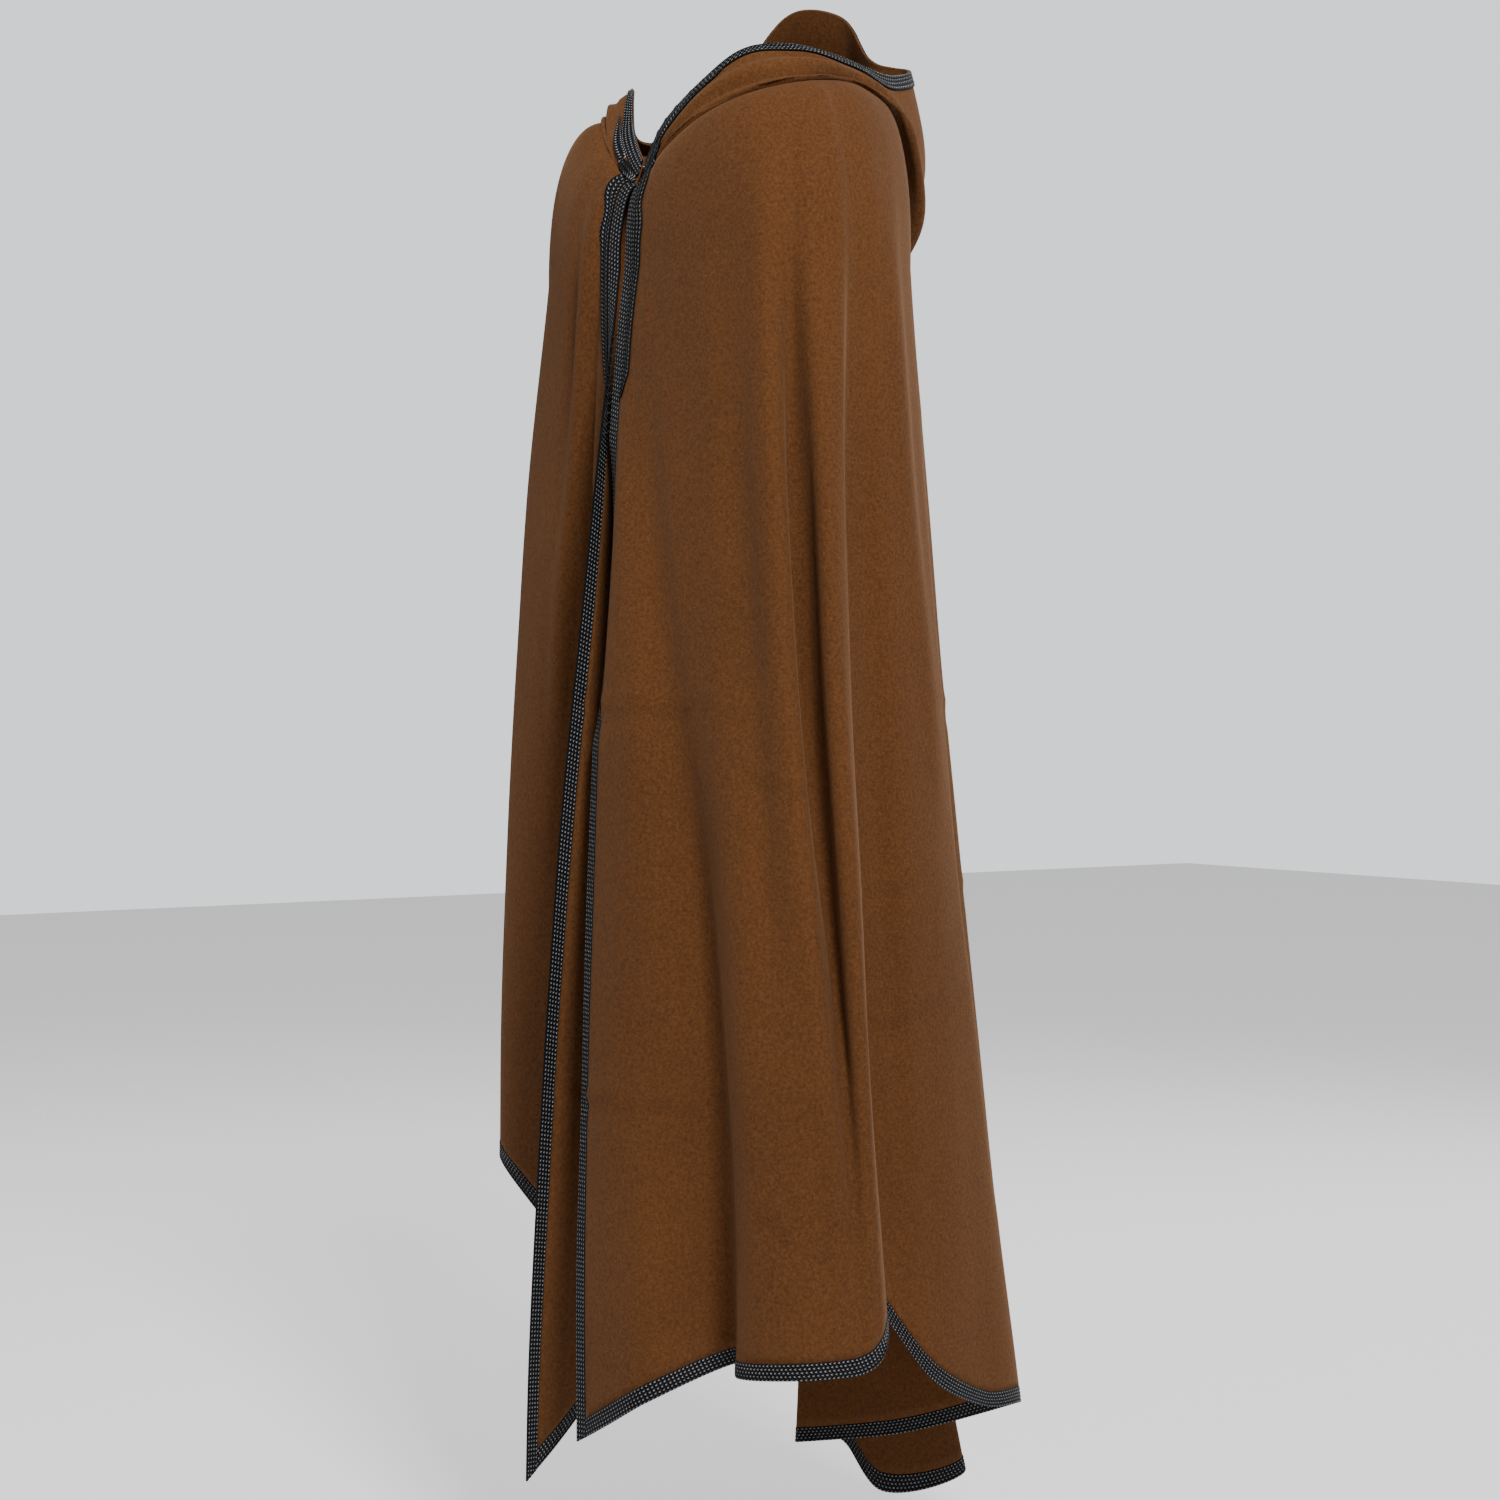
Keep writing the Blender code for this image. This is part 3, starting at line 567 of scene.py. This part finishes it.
for side, edge_line in (("right", 0), ("left", -1)):
    z = points[edge_line, :, 2]
    width = np.full_like(z, CHEST_WIDTH)
    for middle, half_length, extra in CHEST_LOBES:
        width += extra * np.exp(-((z - middle) / half_length) ** 2)
    width *= np.clip((z - z[-1]) / CHEST_CUT, 0, 1) * 0.75 + 0.25
    near, far = (wool_start,), (length - wool_start - width,)
    spans = (near, far) if side == "right" else (far, near)
    patch, patch_normals = along_rows(points, normals, *spans, CHEST_CELLS)
    run = add_wall("chest_braid_" + side + "_run", patch, patch_normals, LIFT,
                   LIFT + CHEST_BASE + ridges, braid_down, ["braid_chest_" + side])


# ---- Hood ------------------------------------------------------------------------------------
# One pointed hood of the same wool, dropped on the back: it is sewn to the neck, rolls over the
# shoulders and hangs in a bag behind. Cubic curves run from the seam to the mouth.

LAP = 0.0010  # how far the hood's first line stands off the neck seam
CLEARANCE = 0.0056  # at least how far the middle of its wall stands off the cloak's elsewhere

# The grid: cells round and down the hood, with the mouth's band in finer cells of its own.
ROUND_SAMPLES, DOWN_SAMPLES = 240, 200
COARSE_ROUND, COARSE_DOWN = 60, 10
FINE_ROUND, FINE_DOWN, FINE_BAND = 299, 55, 12

# Stations round the hood: azimuth of the seam, roll, drop, and the mouth's edge (x, y, z).
STATIONS = np.array((
    (3, 0.000, 0.000, 0.0035, -0.113, -0.053), (16, 0.004, 0.000, 0.032, -0.111, -0.022),
    (38, 0.010, 0.000, 0.066, -0.088, 0.016), (62, 0.014, 0.004, 0.090, -0.056, 0.046),
    (80, 0.016, 0.008, 0.100, -0.012, 0.053), (102, 0.014, 0.010, 0.101, 0.034, 0.050),
    (122, 0.022, 0.030, 0.092, 0.083, 0.045), (143, 0.040, 0.110, 0.074, 0.128, 0.046),
    (164, 0.052, 0.205, 0.042, 0.176, 0.064), (180, 0.076, 0.240, 0.004, 0.158, 0.078),
    (199, 0.070, 0.190, -0.031, 0.146, 0.128), (220, 0.050, 0.090, -0.066, 0.110, 0.136),
    (240, 0.026, 0.030, -0.105, 0.078, 0.084), (260, 0.020, 0.008, -0.146, 0.028, 0.010),
    (281, 0.014, 0.000, -0.146, -0.030, 0.000), (304, 0.008, 0.000, -0.101, -0.064, 0.040),
    (328, 0.006, 0.000, -0.056, -0.092, -0.006), (343, 0.003, 0.000, -0.026, -0.106, -0.033),
    (357, 0.000, 0.000, -0.0035, -0.113, -0.053)))

# Soft folds round the hood: station and share of the way from seam to mouth at each end, half-
# width in stations and in shares, and height.
HOOD_FOLDS = np.array((
    (1.5, 0.62, 6.6, 0.50, 0.9, 0.10, 0.0060), (2.0, 0.40, 6.8, 0.24, 0.9, 0.08, -0.0050),
    (3.2, 0.80, 7.2, 0.74, 0.8, 0.07, -0.0050), (4.6, 0.66, 5.6, 0.72, 0.4, 0.08, 0.0035),
    (6.6, 0.35, 8.6, 0.52, 0.7, 0.09, 0.0060), (6.8, 0.60, 9.4, 0.66, 0.7, 0.09, -0.0050),
    (8.4, 0.82, 11.4, 0.80, 0.8, 0.06, 0.0050), (9.2, 0.68, 12.4, 0.66, 0.8, 0.06, -0.0050),
    (9.6, 0.50, 12.6, 0.52, 0.8, 0.08, 0.0050), (13.2, 0.55, 15.6, 0.62, 0.7, 0.09, 0.0040),
    (12.8, 0.30, 15.8, 0.36, 0.7, 0.09, -0.0040), (8.8, 0.40, 9.8, 0.30, 0.6, 0.10, 0.0050)))


def hood_surface(share):
    """Points of the hood: [place round it, share from seam to mouth]. At each station it is a
    cubic Bezier curve. At the sides it stands up from the seam; at the back it lies out, falls by
    the drop and comes up to the mouth. The station number of each place goes with them."""
    azimuth = STATIONS[:, 0]
    turn = np.radians(azimuth)
    out = np.stack([np.sin(turn), -np.cos(turn), np.zeros(len(turn))], axis=-1)
    mouth = STATIONS[:, 3:6]
    steep = np.clip(np.abs(azimuth - 180) / 40, 0, 1)[:, None]
    first = neck_point(azimuth) + unit(out * (1 - steep) + np.array([0, 0, 1.0]) * steep) * LAP
    down = np.array([0, 0, -1.0]) * STATIONS[:, 2, None]
    hanging = np.clip(1 - np.abs(azimuth - 180) / 45, 0, 1)[:, None]
    second = first + out * STATIONS[:, 1, None] * (1 - 0.85 * hanging) + down * hanging
    third = mouth + out * STATIONS[:, 1, None] + down
    gaps = np.sqrt(np.linalg.norm(np.diff(mouth, axis=0), axis=1))
    knots = np.concatenate([[0], np.cumsum(gaps)])
    wanted = np.linspace(0, knots[-1], ROUND_SAMPLES)
    s = share[None, :, None]
    curve = (1 - s) ** 3 * first[:, None] + 3 * (1 - s) ** 2 * s * second[:, None]
    curve = curve + 3 * (1 - s) * s**2 * third[:, None] + s**3 * mouth[:, None]
    station = np.interp(wanted, knots, np.arange(len(knots)))
    return np.einsum("dk,kic->dic", spline_basis(knots, wanted), curve), station


def lifted_off(under, under_normals, grid, spreads=10, batches=60):
    """The grid's points moved out along the nearest normal of the cloth under them until they are
    clear of it. A point whose nearest neighbour is the neck's own edge is inside it, and moves
    only as its neighbours do: several times over, each move that is less than the mean of the
    four moves round it is raised to that mean."""
    flat = grid.reshape(-1, 3)
    below = under.reshape(-1, 3)
    near = np.concatenate([((batch[:, None] - below[None]) ** 2).sum(axis=2).argmin(axis=1)
                           for batch in np.array_split(flat, batches)])
    normal = under_normals.reshape(-1, 3)[near]
    depth = np.einsum("ij,ij->i", flat - below[near], normal)
    at_edge = near % under.shape[1] == 0
    first_line = np.arange(len(flat)) % grid.shape[1] == 0
    wanted = np.where(first_line, LAP, CLEARANCE)
    push = np.where(at_edge & ~first_line, 0, np.clip(wanted - depth, 0, None))
    push = push.reshape(grid.shape[:2])
    for _ in range(spreads):
        padded = np.pad(push, 1, mode="edge")
        mean = padded[:-2, 1:-1] + padded[2:, 1:-1] + padded[1:-1, :-2] + padded[1:-1, 2:]
        push[:, 1:] = np.maximum(push, mean / 4)[:, 1:]
    return grid + normal.reshape(grid.shape) * push[..., None]


def hood_swell(station, part):
    """How far the hood's soft folds stand off it: the sum over the folds of height times a bell
    curve of the distance from the fold's line, faded past its ends, and a slow unevenness. It
    fades out at the seam and at the mouth."""
    swell = np.zeros(np.broadcast_shapes(station.shape, part.shape))
    for start, part_start, end, part_end, fade, width, tall in HOOD_FOLDS:
        t = np.clip((station - start) / (end - start), 0, 1)
        ends = np.exp(-((station - start - (end - start) * t) / (0.5 * fade)) ** 2)
        ends = ends * np.sin(math.pi * np.clip(t * 0.9 + 0.05, 0, 1)) ** 0.6
        line = part_start + (part_end - part_start) * t
        swell += tall * ends * np.exp(-((part - line) / width) ** 2)
    swell += 0.0010 * np.sin(station * 3.1 + part * 7) * np.sin(part * 11 + station)
    return swell * np.clip(part / 0.15, 0, 1) * np.clip((1 - part) / 0.12, 0, 1) ** 0.5


def turned(grid):
    """The grid with its two directions changed over."""
    return grid.transpose(1, 0, 2)


# An even grid first, clear of the cloak, and then a fine one between its points, with the folds.
# The cloak's shoulders, at every third place round it, are enough to clear.
shoulders, shoulder_normals = body_grid[::3, :34], body_normals[::3, :34]
coarse, station = hood_surface(np.linspace(0, 1, DOWN_SAMPLES))
coarse, _ = along_rows(turned(coarse), turned(coarse), (0,), (0, BRAID_WIDTH), COARSE_DOWN)
coarse, _ = along_rows(turned(coarse), turned(coarse), (0,), (0,), COARSE_ROUND)
coarse = lifted_off(shoulders, shoulder_normals, coarse)
even = np.linspace(0, 1, COARSE_ROUND + 1)
station = np.interp(even, np.linspace(0, 1, len(station)), station)
in_band = COARSE_DOWN + np.linspace(0, 1, FINE_BAND + 1)[1:]
lines = np.concatenate([np.linspace(0, COARSE_DOWN, FINE_DOWN + 1), in_band])
across = np.linspace(0, COARSE_ROUND, FINE_ROUND + 1)
fine = np.einsum("al,rlc->rac", spline_basis(np.arange(COARSE_DOWN + 2), lines), coarse)
fine = np.einsum("br,rac->bac", spline_basis(np.arange(COARSE_ROUND + 1), across), fine)
station = np.interp(across, np.arange(COARSE_ROUND + 1), station)
swell = hood_swell(station[:, None], (lines / (COARSE_DOWN + 1))[None, :])
fine = fine + grid_normals(fine) * swell[..., None]
fine = lifted_off(shoulders, shoulder_normals, fine)
fine_normals = grid_normals(fine)
hood = add_wall("hood_wool_shell", fine, fine_normals, -half, half, hood_wool, ["hood"])

# The mouth's braid, which is narrower round one station of the wearer's right side.
MOUTH_CELLS = 12
MOUTH_BASE, MOUTH_CROWN = 0.0012, 0.0008
NARROW_STATION, NARROW_SPREAD, NARROWING = 15.0, 0.8, 0.0095
length = np.linalg.norm(np.diff(turned(fine), axis=0), axis=2).sum(axis=0)
narrow = np.exp(-((station - NARROW_STATION) / NARROW_SPREAD) ** 2)
width = BRAID_WIDTH - NARROWING * narrow
band, band_normals = along_rows(
    turned(fine), turned(fine_normals), (length - width,), (0,), MOUTH_CELLS)
ridges = MOUTH_CROWN * cord_crowns(MOUTH_CELLS)[None, :]
mouth_braid = add_wall("hood_braid_band", turned(band), turned(band_normals), LIFT,
                       LIFT + MOUTH_BASE + ridges, braid_round, ["braid_hood"])


# ---- Collar lobes, edge loops and joining stitches --------------------------------------------
# The braid widens into a leaf-shaped lobe on each side of the collar. Small corded loops stand
# along the left edge of the collar, and overcast stitches join the two fronts at the breast.

# Each lobe: side, the stations it lies between and its greatest width. At its tip it fans out.
LOBES = (("left", 0.03, 2.5, 0.011), ("right", 15.6, 17.97, 0.010))
LOBE_CELLS = 12
LOBE_OVERLAP = 0.0006
LOBE_BASE, LOBE_CROWN = 0.0011, 0.0006
FAN_WIDTH, FAN_START, FAN_RUN = 0.03, 0.42, 0.25
for side, lowest, highest, widest in LOBES:
    chosen = np.flatnonzero((station > lowest) & (station < highest))
    t = np.linspace(0, 1, len(chosen))
    down_it, down_normals = turned(fine[chosen]), turned(fine_normals[chosen])
    length = np.linalg.norm(np.diff(down_it, axis=0), axis=2).sum(axis=0)
    from_tip = t if side == "left" else 1 - t
    width = LOBE_OVERLAP + widest * np.sin(math.pi * t) ** 0.8
    width += FAN_WIDTH * np.clip((FAN_START - from_tip) / FAN_RUN, 0, 1)
    width = np.minimum(width, length - BRAID_WIDTH - 0.0005)
    patch, patch_normals = along_rows(down_it, down_normals, (length - BRAID_WIDTH - width,),
                                      (BRAID_WIDTH - LOBE_OVERLAP,), LOBE_CELLS)
    ridges = LOBE_CROWN * cord_crowns(LOBE_CELLS, rows=3)[:, None]
    add_wall("collar_lobe_" + side, patch, patch_normals, LIFT,
                          LIFT + LOBE_BASE + ridges, braid_down, [])


RING_STEPS, CORD_STEPS = 20, 8


def add_rings(name, centres, across, along, cord):
    """Closed rings of round cord: a point at angles f and g is centre + cos f across + sin f along,
    moved off that ring by cord times (cos g of its outward direction + sin g of its axis)."""
    f = np.linspace(0, 2 * math.pi, RING_STEPS + 1)[None, :-1, None, None]
    g = np.linspace(0, 2 * math.pi, CORD_STEPS + 1)[None, None, :-1, None]
    a, b = across[:, None, None], along[:, None, None]
    outward = unit(np.cos(f) * a + np.sin(f) * b)
    points = centres[:, None, None] + np.cos(f) * a + np.sin(f) * b
    points = points + cord * (np.cos(g) * outward + np.sin(g) * unit(np.cross(a, b)))
    number = np.arange(points[..., 0].size).reshape(-1, RING_STEPS, CORD_STEPS)
    ahead, over = np.roll(number, -1, axis=1), np.roll(number, -1, axis=2)
    quads = np.stack([number, ahead, np.roll(ahead, -1, axis=2), over], axis=-1).reshape(-1, 4)
    mesh = bpy.data.meshes.new(name)
    mesh.from_pydata(points.reshape(-1, 3).tolist(), [], quads.tolist())
    mesh.polygons.foreach_set("use_smooth", np.ones(len(quads), bool))
    mesh.uv_layers.new(name="Metres")
    mesh.materials.append(braid_down)
    made = bpy.data.objects.new(name, mesh)
    bpy.context.scene.collection.objects.link(made)
    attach(made, "root")
    return made


# Six loops that stand on the collar's left edge, each a little taller than it is wide.
LOOPS, FIRST_LOOP, LAST_LOOP = 6, 0.35, 2.0
LOOP_TALL, LOOP_WIDE, LOOP_CORD = 0.0034, 0.0026, 0.0010
wanted = np.linspace(FIRST_LOOP, LAST_LOOP, LOOPS)
chosen = np.abs(station[:, None] - wanted).argmin(axis=0)
edge = fine[chosen, -1] + fine_normals[chosen, -1] * 0.0012
beyond = unit(fine[chosen, -1] - fine[chosen, -3])
beside = unit(np.cross(beyond, fine_normals[chosen, -1]))
collar_loops = add_rings("collar_loops", edge + beyond * 0.0012, beyond * LOOP_TALL,
                         beside * LOOP_WIDE, LOOP_CORD)

# Overcast stitches: rings round the two joined edges, slanting a little, one at every other row.
JOIN_TOP, JOIN_END = -0.222, -0.322
STITCH_ACROSS, STITCH_DEEP, STITCH_SLANT, STITCH_CORD = 0.0042, 0.0027, 0.0012, 0.0005
joined = np.flatnonzero((left[-1, :, 2] < JOIN_TOP) & (left[-1, :, 2] > JOIN_END))[::2]
middle = (left[-1, joined] + right[0, joined]) / 2
sideways = np.tile([STITCH_ACROSS, 0, 0], (len(joined), 1))
forward = np.tile([0, STITCH_DEEP, STITCH_SLANT], (len(joined), 1))
stitches = add_rings("front_stitches", middle, sideways, forward, STITCH_CORD)


# ---- Floor, light and camera -----------------------------------------------------------------
# A plain pale studio floor and backdrop, both lighter to the camera than the light they give, a
# soft key on the wearer's left, a weaker fill on the right front, and a rim and a back light.

FLOOR_Z, FLOOR_HALF = -1.47, 9
corners = [(-FLOOR_HALF, -FLOOR_HALF, FLOOR_Z), (FLOOR_HALF, -FLOOR_HALF, FLOOR_Z),
           (FLOOR_HALF, FLOOR_HALF, FLOOR_Z), (-FLOOR_HALF, FLOOR_HALF, FLOOR_Z)]
floor_mesh = bpy.data.meshes.new("floor")
floor_mesh.from_pydata(corners, [], [(0, 1, 2, 3)])
floor = bpy.data.objects.new("floor", floor_mesh)
bpy.context.scene.collection.objects.link(floor)
pale = bpy.data.materials.new("pale_floor")
pale.use_nodes = True
shader = pale.node_tree.nodes["Principled BSDF"]
shader.inputs["Base Color"].default_value = (0.92, 0.92, 0.92, 1)
shader.inputs["Roughness"].default_value = 0.9
shader.inputs["Emission Color"].default_value = (1, 1, 1, 1)
to_camera = pale.node_tree.nodes.new("ShaderNodeLightPath").outputs["Is Camera Ray"]
glow = add_math(pale.node_tree, "MULTIPLY", to_camera, 0.50)
pale.node_tree.links.new(glow, shader.inputs["Emission Strength"])
floor_mesh.materials.append(pale)

world = bpy.data.worlds.new("studio")
bpy.context.scene.world = world
world.use_nodes = True
background = world.node_tree.nodes["Background"]
background.inputs["Color"].default_value = (0.95, 0.97, 1.0, 1)
to_camera = world.node_tree.nodes.new("ShaderNodeLightPath").outputs["Is Camera Ray"]
strength = add_math(world.node_tree, "MULTIPLY_ADD", to_camera, 1.05, 0.25)
world.node_tree.links.new(strength, background.inputs["Strength"])


def add_light(name, place, aim, size, power):
    """A square soft light at place, turned toward aim."""
    lamp = bpy.data.lights.new(name, "AREA")
    lamp.size = size
    lamp.energy = power
    made = bpy.data.objects.new(name, lamp)
    bpy.context.scene.collection.objects.link(made)
    made.location = place
    away = np.array(place, float) - np.array(aim, float)
    tilt = math.acos(away[2] / np.linalg.norm(away))
    made.rotation_euler = (tilt, 0, math.atan2(away[1], away[0]) + math.pi / 2)


add_light("key", (3.0, -0.9, 2.2), (0, 0, -0.45), 0.9, 190)
add_light("fill", (-2.4, -2.4, 1.2), (0, 0, -0.2), 1.4, 30)
add_light("rim", (-2.2, 1.6, 1.6), (0, 0, -0.4), 1.6, 30)
add_light("back", (-0.3, 3.2, 0.6), (0, 0, -0.6), 2.2, 34)

CAMERA_AWAY, CAMERA_Z = 2.8, -0.58
CAMERA_TURN = math.radians(56)  # from straight in front toward the wearer's left
camera_data = bpy.data.cameras.new("camera")
camera_data.lens = 67.2
camera_data.sensor_width = 36
camera_data.shift_x = 0.00533
camera_data.shift_y = -0.0333
camera = bpy.data.objects.new("camera", camera_data)
camera.location = (CAMERA_AWAY * math.sin(CAMERA_TURN), -CAMERA_AWAY * math.cos(CAMERA_TURN),
                   CAMERA_Z)
camera.rotation_euler = (math.radians(90), 0, CAMERA_TURN)
bpy.context.scene.collection.objects.link(camera)
bpy.context.scene.camera = camera
